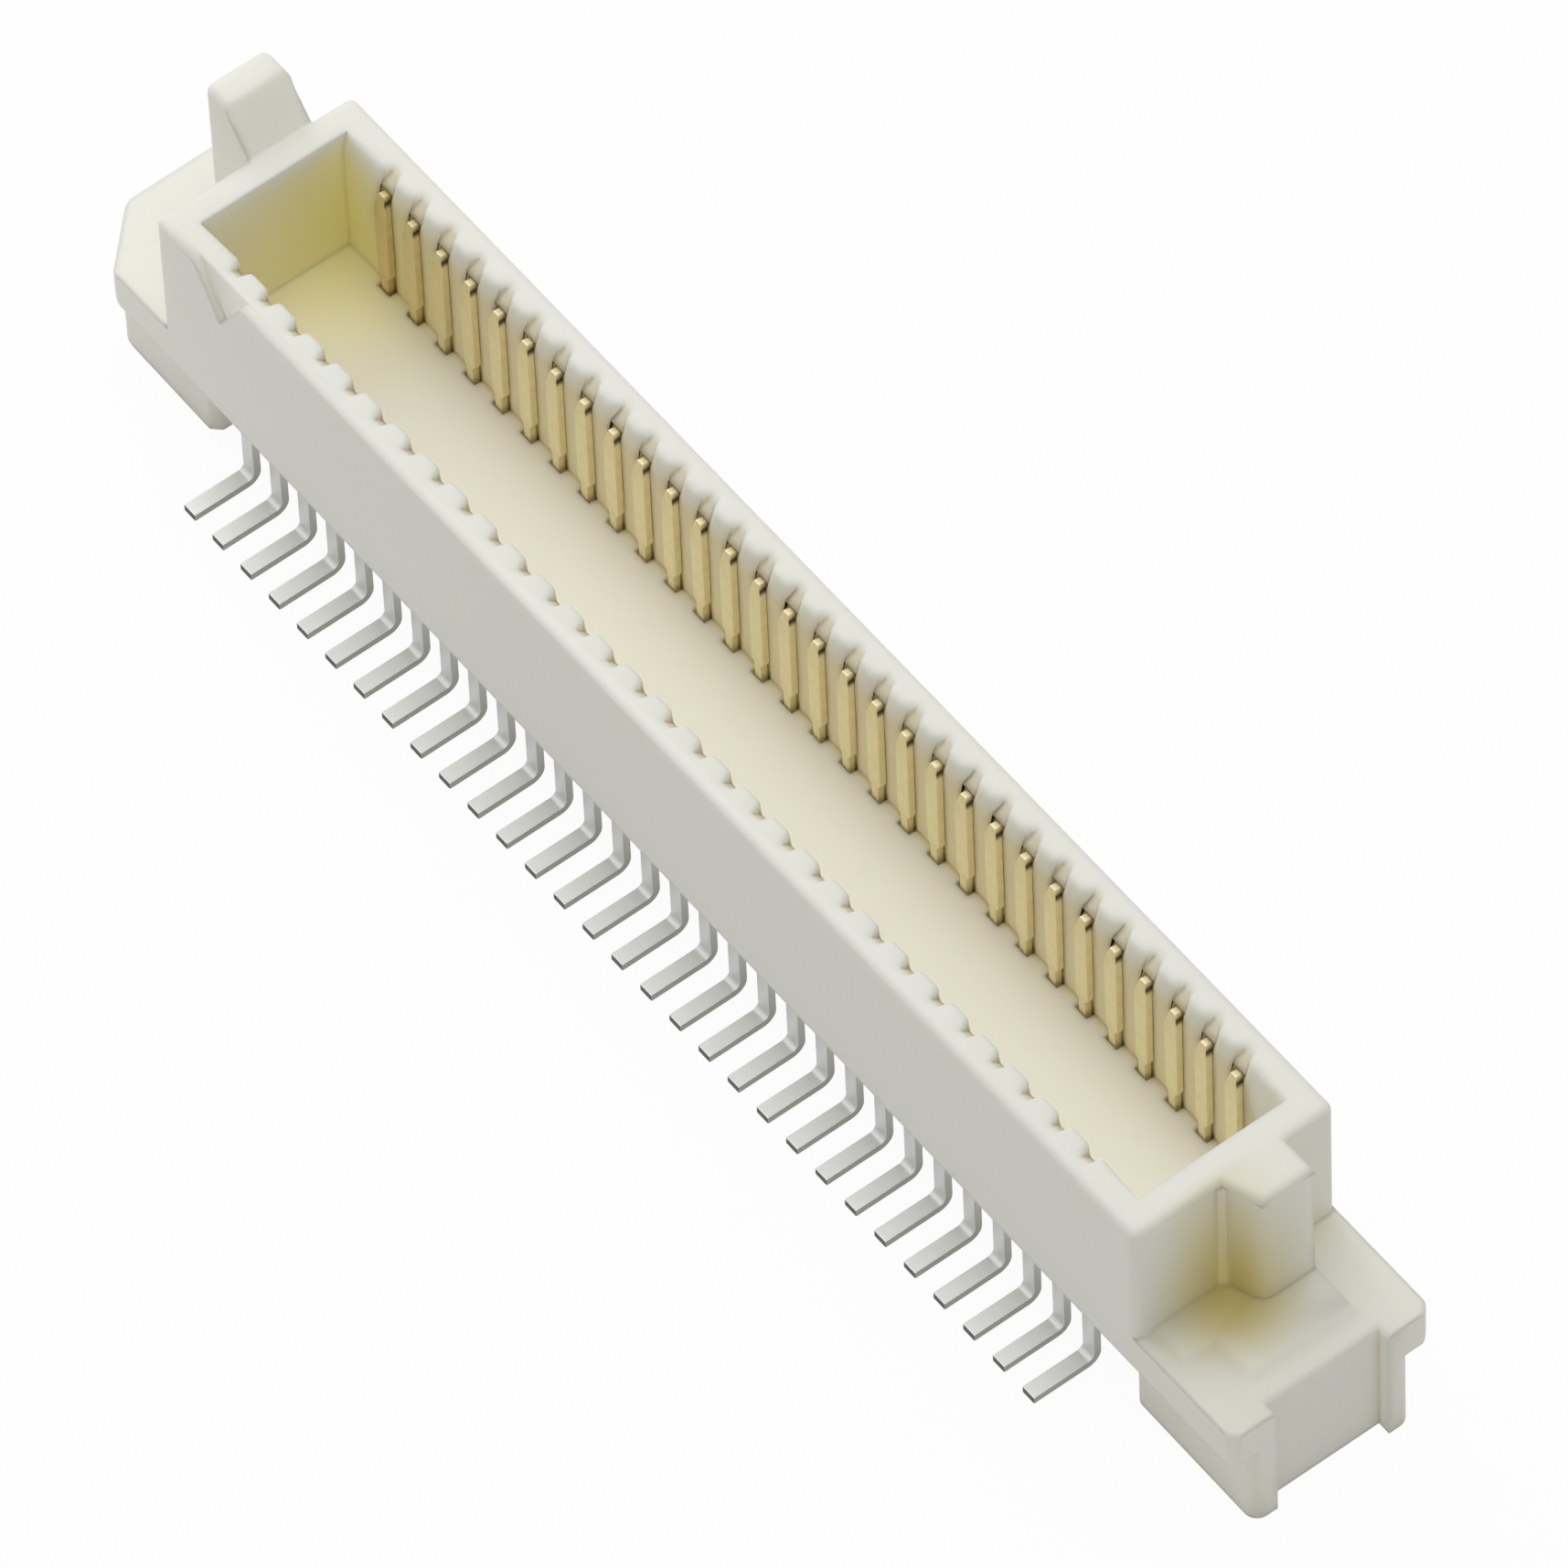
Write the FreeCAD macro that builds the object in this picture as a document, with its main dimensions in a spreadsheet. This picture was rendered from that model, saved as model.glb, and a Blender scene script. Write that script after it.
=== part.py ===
"""Two-row, fine-pitch, surface-mount pin header with a shrouded cavity.

One moulded housing carries two rows of stamped and formed contacts. X runs along
the rows, Y across them and Z up from the circuit board. The origin is on the board,
at the middle of the rows. All lengths are in millimetres.
"""
import FreeCAD
import Part
import Sketcher
import math
import os

from FreeCAD import Vector

# Driving dimensions: name, value, what it is
DRIVING_SIZES = [
    ("pitch", 0.6, "spacing of the contacts along a row"),
    ("positions", 30, "contacts in each row"),
    ("standoff", 1.5, "board to the underside of the body"),
    ("slab_thickness", 0.6, "floor of the cavity"),
    ("cavity_depth", 2.3, "floor to rim"),
    ("cavity_width", 2.16, "between the inner faces of the side walls"),
    ("side_wall", 0.495, "thickness of a side wall"),
    ("end_margin", 0.88, "last contact to the inner face of the end wall"),
    ("end_wall", 0.44, "thickness of an end wall"),
    ("flange_reach", 1.9, "end wall to the end of the flange"),
    ("flange_thickness", 0.63, "end flange"),
    ("foot_length", 2.42, "foot under each flange, along the rows"),
    ("foot_width", 2.5, "foot under each flange, across the rows"),
    ("key_chamfer", 0.8, "corner cut off the first end as a key"),
    ("end_recess_depth", 0.2, "recess in the last end face"),
    ("end_recess_width", 1.76, "recess in the last end face"),
    ("tab_reach", 0.9, "locating tab, out from the end wall"),
    ("tab_width", 1.0, "locating tab, across the rows"),
    ("tab_shift", 0.41, "locating tab, off the centre line"),
    ("tab_rise", 0.66, "top of the tab above the rim"),
    ("tab_crest", 0.44, "flat top of the tab"),
    ("post_reach", 0.56, "post, out from the other end wall"),
    ("post_width", 0.82, "outer face of the post, across the rows"),
    ("post_shift", 0.4, "post, off the centre line"),
    ("post_flare", 0.2, "widening of the post towards the wall"),
    ("land_height", 0.08, "raised land on the flange beside the post"),
    ("land_reach", 1.36, "land, out from the end wall"),
    ("land_width", 1.72, "land, across the rows"),
    ("ledge_reach", 0.68, "wide part of the land, next to the wall"),
    ("ledge_width", 2.7, "wide part of the land, across the rows"),
    ("mark_width", 1.04, "triangle that marks the first contact"),
    ("mark_height", 0.87, "triangle that marks the first contact"),
    ("mark_depth", 0.12, "triangle that marks the first contact"),
    ("rim_radius", 0.11, "outer edge of the rim"),
    ("corner_radius", 0.12, "upright corners of the shroud and the flanges"),
    ("foot_radius", 0.2, "upright corners of the feet"),
    ("tab_radius", 0.14, "edges of the tab"),
    ("blade_width", 0.24, "contact, along the row"),
    ("blade_thickness", 0.15, "contact, sheet thickness"),
    ("blade_proud", 0.12, "contact face in front of the side wall"),
    ("tip_depth", 0.33, "rim to the top of a contact"),
    ("tip_length", 0.32, "part of a contact that narrows and leans back"),
    ("tip_width", 0.11, "top of a contact"),
    ("tip_setback", 0.05, "lean of the top towards the wall"),
    ("neck_width", 0.13, "narrow foot of the blade"),
    ("neck_rise", 0.3, "floor to the top of the narrow foot"),
    ("leg_inset", 0.2, "inner face of the wall to the middle of the leg"),
    ("jog_cover", 0.15, "floor to the start of the jog into the wall"),
    ("jog_height", 0.25, "height of the jog"),
    ("tail_run", 0.705, "outer face of the wall to the end of a tail"),
    ("bend_radius", 0.1, "inside of the bend at the board"),
    ("slot_clearance", 0.006, "around a contact in its slot"),
    ("pocket_drop", 0.32, "top of a contact to the bottom of the pocket behind it"),
    ("pocket_depth", 0.17, "pocket behind the top of a contact"),
    ("ledge_gap", 0.05, "top of a contact to the ledge over it"),
    ("notch_depth", 0.25, "notch in the rim, back from the inner face"),
    ("lead_in_reach", 0.085, "slope inside the rim, back from the inner face"),
    ("lead_in_drop", 0.28, "slope inside the rim, down from the rim"),
]

# Places worked out from the driving dimensions: name, formula
WORKED_OUT = [
    ("inner_face", "sizes.cavity_width / 2"),
    ("outer_face", "inner_face + sizes.side_wall"),
    ("first_station", "-(sizes.positions - 1) * sizes.pitch / 2"),
    ("inner_end", "sizes.end_margin - first_station"),
    ("outer_end", "inner_end + sizes.end_wall"),
    ("flange_end", "outer_end + sizes.flange_reach"),
    ("foot_start", "flange_end - sizes.foot_length"),
    ("foot_side", "sizes.foot_width / 2"),
    ("flange_top", "sizes.standoff + sizes.flange_thickness"),
    ("floor_level", "sizes.standoff + sizes.slab_thickness"),
    ("rim_level", "floor_level + sizes.cavity_depth"),
    ("tab_outer", "outer_end + sizes.tab_reach"),
    ("tab_near", "sizes.tab_shift - sizes.tab_width / 2"),
    ("tab_far", "sizes.tab_shift + sizes.tab_width / 2"),
    ("tab_top", "rim_level + sizes.tab_rise"),
    ("post_outer", "outer_end + sizes.post_reach"),
    ("post_near", "sizes.post_shift - sizes.post_width / 2"),
    ("post_far", "sizes.post_shift + sizes.post_width / 2"),
    ("land_top", "flange_top + sizes.land_height"),
    ("blade_face", "inner_face - sizes.blade_proud"),
    ("blade_back", "blade_face + sizes.blade_thickness"),
    ("tip_level", "rim_level - sizes.tip_depth"),
    ("tip_bend", "tip_level - sizes.tip_length"),
    ("neck_level", "floor_level + sizes.neck_rise"),
    ("neck_edge", "sizes.neck_width / 2"),
    ("channel_end", "sizes.standoff / 2"),
    ("leg_inner", "inner_face + sizes.leg_inset - sizes.blade_thickness / 2"),
    ("leg_outer", "leg_inner + sizes.blade_thickness"),
    ("jog_top", "floor_level - sizes.jog_cover"),
    ("jog_bottom", "jog_top - sizes.jog_height"),
    ("jog_shift", "sizes.blade_thickness * tan(atan((leg_inner - blade_face) / sizes.jog_height) / 2)"),
    ("inner_jog_top", "jog_top - jog_shift"),
    ("inner_jog_bottom", "jog_bottom - jog_shift"),
    ("tail_tip", "outer_face + sizes.tail_run"),
    ("slot_width", "sizes.blade_width + 2 * sizes.slot_clearance"),
    ("slot_face", "blade_face - sizes.slot_clearance"),
    ("slot_back", "blade_back + sizes.slot_clearance"),
    ("channel_inner", "leg_inner - sizes.slot_clearance"),
    ("channel_outer", "leg_outer + sizes.slot_clearance"),
    ("pocket_back", "slot_back + sizes.pocket_depth"),
    ("ledge_level", "tip_level + sizes.ledge_gap"),
    ("notch_back", "inner_face + sizes.notch_depth"),
    ("pillar_width", "foot_side - sizes.end_recess_width / 2"),
    ("foot_round", "min(sizes.foot_radius; 0.8 * pillar_width)"),
]

# Two lengths closer than this are the same
TOLERANCE = 1e-4
# Outlines start as a polygon turned by this share of a corner, so that no edge starts level
START_TURN = 0.3

doc = FreeCAD.newDocument("pin_header")


def fill_sheet(name, rows):
    """Write named cells and return the sheet."""
    sheet = doc.addObject("Spreadsheet::Sheet", name)
    for number, (alias, content, note) in enumerate(rows, start=1):
        sheet.set(f"A{number}", alias)
        sheet.set(f"B{number}", content)
        sheet.setAlias(f"B{number}", alias)
        sheet.set(f"C{number}", note)
    doc.recompute()
    return sheet


sizes = fill_sheet("sizes", [(alias, str(value), note) for alias, value, note in DRIVING_SIZES])
layout = fill_sheet("layout", [(alias, "=" + formula, "") for alias, formula in WORKED_OUT])


def plane_sketch(body, name, plane, offset="0"):
    """Add a sketch on one of the body's own planes, moved along its normal."""
    sketch = body.newObject("Sketcher::SketchObject", name)
    support = [feature for feature in body.Origin.OriginFeatures if feature.Role == plane]
    sketch.AttachmentSupport = [(support[0], "")]
    sketch.MapMode = "FlatFace"
    sketch.setExpression("AttachmentOffset.Base.z", offset)
    return sketch


def pin_point(sketch, geometry, end, u, v, start):
    """Tie one end of a line or arc to the two formulas u and v."""
    for kind, formula, value in (("DistanceX", u, start.x), ("DistanceY", v, start.y)):
        index = sketch.addConstraint(Sketcher.Constraint(kind, -1, 1, geometry, end, value))
        label = f"{kind}_{geometry}_{end}"
        sketch.renameConstraint(index, label)
        sketch.setExpression("Constraints." + label, formula)


def outline(sketch, corners):
    """Draw a closed outline of straight edges through corners given as formulas."""
    count = len(corners)
    first = sketch.GeometryCount
    turns = [2 * math.pi * (number + START_TURN) / count for number in range(count)]
    starts = [Vector(math.cos(turn), math.sin(turn), 0) for turn in turns]
    edges = [Part.LineSegment(starts[number], starts[(number + 1) % count]) for number in range(count)]
    sketch.addGeometry(edges, False)
    joints = [
        Sketcher.Constraint("Coincident", first + number, 2, first + (number + 1) % count, 1)
        for number in range(count)
    ]
    sketch.addConstraint(joints)
    for number, (u, v) in enumerate(corners):
        pin_point(sketch, first + number, 1, u, v, starts[number])


def rectangle(left, right, low, high):
    """Return the corners of a rectangle, counter-clockwise."""
    return [(left, low), (right, low), (right, high), (left, high)]


def pad(body, name, sketch, length, side="One side", backwards=False):
    """Raise a sketch into a solid."""
    feature = body.newObject("PartDesign::Pad", name)
    feature.Profile = sketch
    feature.SideType = side
    feature.Reversed = backwards
    feature.setExpression("Length", length)
    return feature


def pocket(body, name, sketch, length, side="One side", backwards=False):
    """Cut a sketch out of the solid, and check that something was cut."""
    doc.recompute()
    before = body.Shape.Volume
    feature = body.newObject("PartDesign::Pocket", name)
    feature.Profile = sketch
    feature.SideType = side
    feature.Reversed = backwards
    feature.setExpression("Length", length)
    doc.recompute()
    if body.Shape.Volume >= before:
        raise RuntimeError(name + " cuts nothing")
    return feature


def repeat_along_row(body, name, features):
    """Repeat features of the first station at every station of the row."""
    axis = [feature for feature in body.Origin.OriginFeatures if feature.Role == "X_Axis"]
    pattern = body.newObject("PartDesign::LinearPattern", name)
    pattern.Originals = features
    pattern.Direction = (axis[0], [""])
    pattern.Mode = "Spacing"
    pattern.setExpression("Offset", "sizes.pitch")
    pattern.setExpression("Occurrences", "sizes.positions")
    body.Tip = pattern
    return pattern


def place(name):
    """Return a worked-out place as a number."""
    return float(layout.get(name))


def near(a, b):
    """Say whether two lengths are the same to well under a feature's size."""
    return abs(a - b) < TOLERANCE


def soften_edges(body, name, kind, size_name, size, chosen):
    """Add one feature on the edges whose two ends pass the test named chosen."""
    doc.recompute()
    base = body.Tip
    picked = []
    for number, edge in enumerate(base.Shape.Edges, start=1):
        ends = [vertex.Point for vertex in edge.Vertexes]
        if len(ends) == 2 and chosen(ends[0], ends[1]):
            picked.append(f"Edge{number}")
    if not picked:
        raise RuntimeError(name + " finds no edge")
    feature = body.newObject(kind, name)
    feature.Base = (base, picked)
    feature.setExpression(size_name, size)
    doc.recompute()
    return feature


def round_edges(body, name, radius, chosen):
    """Round the edges that pass the test named chosen."""
    return soften_edges(body, name, "PartDesign::Fillet", "Radius", radius, chosen)


def chamfer_edges(body, name, size, chosen):
    """Chamfer the edges that pass the test named chosen."""
    return soften_edges(body, name, "PartDesign::Chamfer", "Size", size, chosen)


def upright(a, b):
    """Say whether an edge runs straight up."""
    return near(a.x, b.x) and near(a.y, b.y)


def make_housing():
    """Mould the housing: slab, shroud, feet, end features, slots and notched rim."""
    body = doc.addObject("PartDesign::Body", "housing")
    body.Label = "housing"

    slab = plane_sketch(body, "slab_outline", "XY_Plane", "sizes.standoff")
    outline(slab, [
        ("-layout.flange_end + sizes.key_chamfer", "-layout.outer_face"),
        ("layout.flange_end", "-layout.outer_face"),
        ("layout.flange_end", "layout.outer_face"),
        ("-layout.flange_end", "layout.outer_face"),
        ("-layout.flange_end", "-layout.outer_face + sizes.key_chamfer"),
    ])
    pad(body, "slab", slab, "sizes.flange_thickness")

    shroud = plane_sketch(body, "shroud_outline", "XY_Plane", "sizes.standoff")
    outline(shroud, rectangle("-layout.outer_end", "layout.outer_end", "-layout.outer_face", "layout.outer_face"))
    pad(body, "shroud", shroud, "layout.rim_level - sizes.standoff")

    # The cut corner runs down through the first foot in one plane
    feet = plane_sketch(body, "feet_outline", "XY_Plane", "0")
    outline(feet, rectangle("layout.foot_start", "layout.flange_end", "-layout.foot_side", "layout.foot_side"))
    foot_cut = "sizes.key_chamfer - (layout.outer_face - layout.foot_side)"
    outline(feet, [
        ("-layout.flange_end + " + foot_cut, "-layout.foot_side"),
        ("-layout.foot_start", "-layout.foot_side"),
        ("-layout.foot_start", "layout.foot_side"),
        ("-layout.flange_end", "layout.foot_side"),
        ("-layout.flange_end", "-layout.foot_side + " + foot_cut),
    ])
    pad(body, "feet", feet, "sizes.standoff")

    tab = plane_sketch(body, "tab_profile", "XZ_Plane", "-layout.tab_far")
    outline(tab, [
        ("-layout.tab_outer", "sizes.standoff"),
        ("-layout.inner_end - sizes.end_wall / 2", "sizes.standoff"),
        ("-layout.inner_end - sizes.end_wall / 2", "layout.rim_level"),
        ("-layout.outer_end", "layout.rim_level"),
        ("-layout.tab_outer + sizes.tab_crest", "layout.tab_top"),
        ("-layout.tab_outer", "layout.tab_top"),
    ])
    pad(body, "tab", tab, "sizes.tab_width")

    post = plane_sketch(body, "post_outline", "XY_Plane", "sizes.standoff")
    outline(post, [
        ("layout.outer_end", "layout.post_near - sizes.post_flare"),
        ("layout.post_outer", "layout.post_near"),
        ("layout.post_outer", "layout.post_far"),
        ("layout.outer_end", "layout.post_far"),
        ("layout.inner_end + sizes.end_wall / 2", "layout.post_far"),
        ("layout.inner_end + sizes.end_wall / 2", "layout.post_near - sizes.post_flare"),
    ])
    pad(body, "post", post, "layout.rim_level - sizes.standoff")

    land = plane_sketch(body, "land_outline", "XY_Plane", "sizes.standoff")
    outline(land, [
        ("layout.inner_end + sizes.end_wall / 2", "-sizes.ledge_width / 2"),
        ("layout.outer_end + sizes.ledge_reach", "-sizes.ledge_width / 2"),
        ("layout.outer_end + sizes.ledge_reach", "-sizes.land_width / 2"),
        ("layout.outer_end + sizes.land_reach", "-sizes.land_width / 2"),
        ("layout.outer_end + sizes.land_reach", "layout.post_far"),
        ("layout.inner_end + sizes.end_wall / 2", "layout.post_far"),
    ])
    pad(body, "land", land, "layout.land_top - sizes.standoff")

    recess = plane_sketch(body, "recess_outline", "XY_Plane", "0")
    outline(recess, rectangle(
        "layout.flange_end - sizes.end_recess_depth", "layout.flange_end + sizes.end_recess_depth",
        "-sizes.end_recess_width / 2", "sizes.end_recess_width / 2"))
    pocket(body, "end_recess", recess, "layout.rim_level", backwards=True)

    cavity = plane_sketch(body, "cavity_outline", "XY_Plane", "layout.rim_level")
    outline(cavity, rectangle("-layout.inner_end", "layout.inner_end", "-layout.inner_face", "layout.inner_face"))
    pocket(body, "cavity", cavity, "sizes.cavity_depth")

    round_housing(body)
    cut_first_contact_mark(body)
    cut_lead_in(body)
    cut_contact_slots(body)
    return body


def round_housing(body):
    """Round the moulded corners and edges."""
    outer_face = place("outer_face")
    outer_end = place("outer_end")
    flange_end = place("flange_end")
    foot_start = place("foot_start")
    foot_side = place("foot_side")
    rim_level = place("rim_level")
    tab_top = place("tab_top")
    tab_outer = place("tab_outer")

    def at(point, x, y):
        return near(abs(point.x), x) and near(abs(point.y), y)

    def shroud_corner(a, b):
        return upright(a, b) and at(a, outer_end, outer_face)

    def foot_end_corner(a, b):
        return upright(a, b) and at(a, flange_end, foot_side)

    def foot_start_corner(a, b):
        return upright(a, b) and at(a, foot_start, foot_side)

    def flange_corner(a, b):
        return upright(a, b) and at(a, flange_end, outer_face)

    def tab_edge(a, b):
        crest = near(a.z, tab_top) and near(b.z, tab_top)
        back = near(a.x, -tab_outer) and near(b.x, -tab_outer) and max(a.z, b.z) > rim_level
        return crest or back

    def in_cavity(point):
        across = abs(point.y) < place("inner_face") + TOLERANCE
        return across and abs(point.x) < place("inner_end") + TOLERANCE

    def on_tab(point):
        across = place("tab_near") - TOLERANCE < point.y < place("tab_far") + TOLERANCE
        return across and near(point.x, -outer_end)

    def rim_edge(a, b):
        level = near(a.z, rim_level) and near(b.z, rim_level)
        inside = in_cavity(a) or in_cavity(b)
        return level and not inside and not (on_tab(a) and on_tab(b))

    round_edges(body, "shroud_corners", "sizes.corner_radius", shroud_corner)
    round_edges(body, "foot_end_corners", "layout.foot_round", foot_end_corner)
    chamfer_edges(body, "foot_start_corners", "sizes.corner_radius", foot_start_corner)
    chamfer_edges(body, "flange_corners", "sizes.corner_radius", flange_corner)
    round_edges(body, "tab_edges", "sizes.tab_radius", tab_edge)
    round_edges(body, "rim_edges", "sizes.rim_radius", rim_edge)


def cut_first_contact_mark(body):
    """Sink a triangle into the outer face of the near wall at the first contact."""
    mark = plane_sketch(body, "mark_outline", "XZ_Plane", "layout.outer_face - sizes.mark_depth")
    outline(mark, [
        ("layout.first_station - sizes.mark_width / 2", "layout.rim_level"),
        ("layout.first_station", "layout.rim_level - sizes.mark_height"),
        ("layout.first_station + sizes.mark_width / 2", "layout.rim_level"),
        ("layout.first_station + sizes.mark_width / 2", "layout.rim_level + sizes.mark_depth"),
        ("layout.first_station - sizes.mark_width / 2", "layout.rim_level + sizes.mark_depth"),
    ])
    pocket(body, "first_contact_mark", mark, "2 * sizes.mark_depth", backwards=True)


def row_side(side, formula):
    """Return a formula for the far row, or the same one mirrored for the near row."""
    return formula if side > 0 else f"-({formula})"


def cut_lead_in(body):
    """Slope the inner edge of both side walls, where the mating part enters."""
    slope = plane_sketch(body, "lead_in_profile", "YZ_Plane")
    for side in (1, -1):
        corners = [
            ("layout.slot_face", "layout.rim_level"),
            ("layout.slot_face", "layout.rim_level - sizes.lead_in_drop"),
            ("layout.inner_face", "layout.rim_level - sizes.lead_in_drop"),
            ("layout.inner_face + sizes.lead_in_reach", "layout.rim_level"),
        ]
        outline(slope, [(row_side(side, y), z) for y, z in corners])
    pocket(body, "lead_in", slope, "2 * layout.inner_end", side="Symmetric")


def cut_contact_slots(body):
    """Cut the slot of each contact: rim notch, ledge, pocket, groove and channel to the board."""
    slot = plane_sketch(body, "slot_profile", "YZ_Plane", "layout.first_station")
    for side in (1, -1):
        corners = [
            ("layout.slot_face", "layout.rim_level"),
            ("layout.slot_face", "layout.inner_jog_top - sizes.slot_clearance"),
            ("layout.channel_inner", "layout.inner_jog_bottom - sizes.slot_clearance"),
            ("layout.channel_inner", "layout.channel_end"),
            ("layout.channel_outer", "layout.channel_end"),
            ("layout.channel_outer", "layout.jog_bottom + sizes.slot_clearance"),
            ("layout.slot_back", "layout.jog_top + sizes.slot_clearance"),
            ("layout.slot_back", "layout.tip_level - sizes.pocket_drop"),
            ("layout.pocket_back", "layout.ledge_level"),
            ("layout.slot_back", "layout.ledge_level"),
            ("layout.notch_back", "layout.rim_level"),
        ]
        outline(slot, [(row_side(side, y), z) for y, z in corners])
    first = pocket(body, "first_slot", slot, "layout.slot_width", side="Symmetric")
    repeat_along_row(body, "slots", [first])


def make_contact():
    """Stamp and form one contact of the far row, at the middle of the row."""
    body = doc.addObject("PartDesign::Body", "far_contact")
    body.Label = "far_contact"
    profile = plane_sketch(body, "contact_profile", "YZ_Plane")
    outline(profile, [
        ("layout.blade_face + sizes.tip_setback", "layout.tip_level"),
        ("layout.blade_face", "layout.tip_bend"),
        ("layout.blade_face", "layout.inner_jog_top"),
        ("layout.leg_inner", "layout.inner_jog_bottom"),
        ("layout.leg_inner", "0"),
        ("layout.tail_tip", "0"),
        ("layout.tail_tip", "sizes.blade_thickness"),
        ("layout.leg_outer", "sizes.blade_thickness"),
        ("layout.leg_outer", "layout.jog_bottom"),
        ("layout.blade_back", "layout.jog_top"),
        ("layout.blade_back", "layout.tip_bend"),
        ("layout.blade_back + sizes.tip_setback", "layout.tip_level"),
    ])
    pad(body, "strip", profile, "sizes.blade_width", side="Symmetric")

    # Two corners are cut off the top, and the foot is narrowed from both sides
    edges = plane_sketch(body, "blade_edges", "XZ_Plane")
    for side in (1, -1):
        taper = [
            ("sizes.blade_width / 2", "layout.tip_bend"),
            ("sizes.blade_width", "layout.tip_bend"),
            ("sizes.blade_width", "layout.tip_level"),
            ("sizes.tip_width / 2", "layout.tip_level"),
        ]
        neck = rectangle("layout.neck_edge", "sizes.blade_width", "layout.jog_top", "layout.neck_level")
        for corners in (taper, neck):
            outline(edges, [(row_side(side, x), z) for x, z in corners])
    pocket(body, "trimmed_edges", edges, "2 * layout.tail_tip", side="Symmetric")

    thickness = float(sizes.get("blade_thickness"))

    def inner_corner(a, b):
        return all(near(p.y, place("leg_outer")) and near(p.z, thickness) for p in (a, b))

    def outer_corner(a, b):
        return all(near(p.y, place("leg_inner")) and near(p.z, 0) for p in (a, b))

    round_edges(body, "inner_bend", "sizes.bend_radius", inner_corner)
    round_edges(body, "outer_bend", "sizes.bend_radius + sizes.blade_thickness", outer_corner)
    return body


def place_contact_pairs(far_contact):
    """Set a far and a near contact at every station of the rows."""
    near_contact = doc.addObject("Part::Mirroring", "near_contact")
    near_contact.Source = far_contact
    near_contact.Normal = Vector(0, 1, 0)
    pairs = []
    for station in range(int(sizes.get("positions"))):
        pair = doc.addObject("Part::Compound", f"contact_pair_{station + 1:02d}")
        pair.Label = pair.Name
        pair.Links = [far_contact, near_contact]
        pair.setExpression("Placement.Base.x", f"layout.first_station + {station} * sizes.pitch")
        pairs.append(pair)
    return pairs


housing = make_housing()
parts = [housing] + place_contact_pairs(make_contact())
doc.recompute()

for item in doc.Objects:
    if {"Invalid", "Error"} & set(item.State):
        raise RuntimeError(f"{item.Label} failed: {item.State}")
for item in parts:
    if item.Shape.isNull() or not item.Shape.isValid():
        raise RuntimeError(item.Label + " has no valid shape")

os.makedirs("parts", exist_ok=True)
for item in parts:
    item.Shape.exportStep(f"parts/{item.Label}.step")
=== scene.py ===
"""Looks of a two-row surface-mount pin header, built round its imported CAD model.

X runs along the rows, Y across them and Z up from the circuit board. Object lengths
are in metres. The material nodes work in millimetres.
"""

import math

import bmesh
import bpy
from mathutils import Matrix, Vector


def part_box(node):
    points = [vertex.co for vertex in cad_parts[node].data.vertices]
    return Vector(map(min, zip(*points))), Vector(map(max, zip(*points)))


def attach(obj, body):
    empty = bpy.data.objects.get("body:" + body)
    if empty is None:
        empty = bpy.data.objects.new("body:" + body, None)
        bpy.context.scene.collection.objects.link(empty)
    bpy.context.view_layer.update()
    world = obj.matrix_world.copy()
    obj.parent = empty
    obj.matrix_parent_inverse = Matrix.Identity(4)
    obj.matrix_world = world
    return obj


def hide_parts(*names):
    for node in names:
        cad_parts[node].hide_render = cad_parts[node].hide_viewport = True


bl_info = {
    "name": "Pin Header",
    "version": (1, 0, 0),
    "blender": (4, 5, 0),
    "location": "3D View > Sidebar > Pin Header",
    "description": "Moulded housing and formed contacts of a fine-pitch pin header",
    "category": "Object",
}

MM = 0.001

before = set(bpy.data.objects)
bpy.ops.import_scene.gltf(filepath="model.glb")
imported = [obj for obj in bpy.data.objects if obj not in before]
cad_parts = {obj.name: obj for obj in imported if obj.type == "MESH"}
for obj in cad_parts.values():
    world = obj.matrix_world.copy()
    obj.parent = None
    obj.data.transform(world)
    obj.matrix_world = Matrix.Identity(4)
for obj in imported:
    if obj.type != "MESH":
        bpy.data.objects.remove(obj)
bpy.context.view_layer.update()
CONTACT_NODES = sorted(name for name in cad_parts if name.startswith("contact_pair_"))

# What the contacts share with the CAD solids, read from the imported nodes
FIRST_LOW, FIRST_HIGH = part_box(CONTACT_NODES[0])
TAIL_TIP = FIRST_HIGH.y
TIP_LEVEL = FIRST_HIGH.z
BLADE_WIDTH = FIRST_HIGH.x - FIRST_LOW.x
STATIONS = [sum(corner.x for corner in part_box(name)) / 2 for name in CONTACT_NODES]

# Places on the moulding that its edges are told apart by
SAME = 0.002 * MM
MERGED = 0.0005 * MM
FIRST_STATION = max(STATIONS)
NOTCH_REACH = FIRST_STATION + 0.4 * MM
SLOT_HALF = BLADE_WIDTH / 2 + 0.006 * MM
RIM_INNER = 1.08 * MM
NOTCH_BACK = 1.33 * MM
ROW_EDGE = 1.5 * MM
LEDGE_LEVEL = 4.12 * MM
OUTER_END = 10.02 * MM
POST_OUTER = 10.58 * MM
POST_SIDE = 1.0 * MM
POST_CORNER_LEAST = 1.2 * MM
LAND_TOP = 2.21 * MM
LAND_OUTER = OUTER_END + 0.6 * MM
LAND_NEAR = -0.8 * MM
TAB_RIDGE_LEAST = 0.5 * MM
TAB_RIDGE_DROP = 0.3 * MM

# An edge is rounded where its neighbours are longer than this many times the rounding
ROOM_TO_ROUND = 2.2

# Angles between faces that count as an edge, when rounding and when shading
MOULDED_EDGE = math.radians(30)
MOULDED_CREASE = math.radians(32)
STAMPED_EDGE = math.radians(40)
STAMPED_CREASE = math.radians(30)

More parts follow.
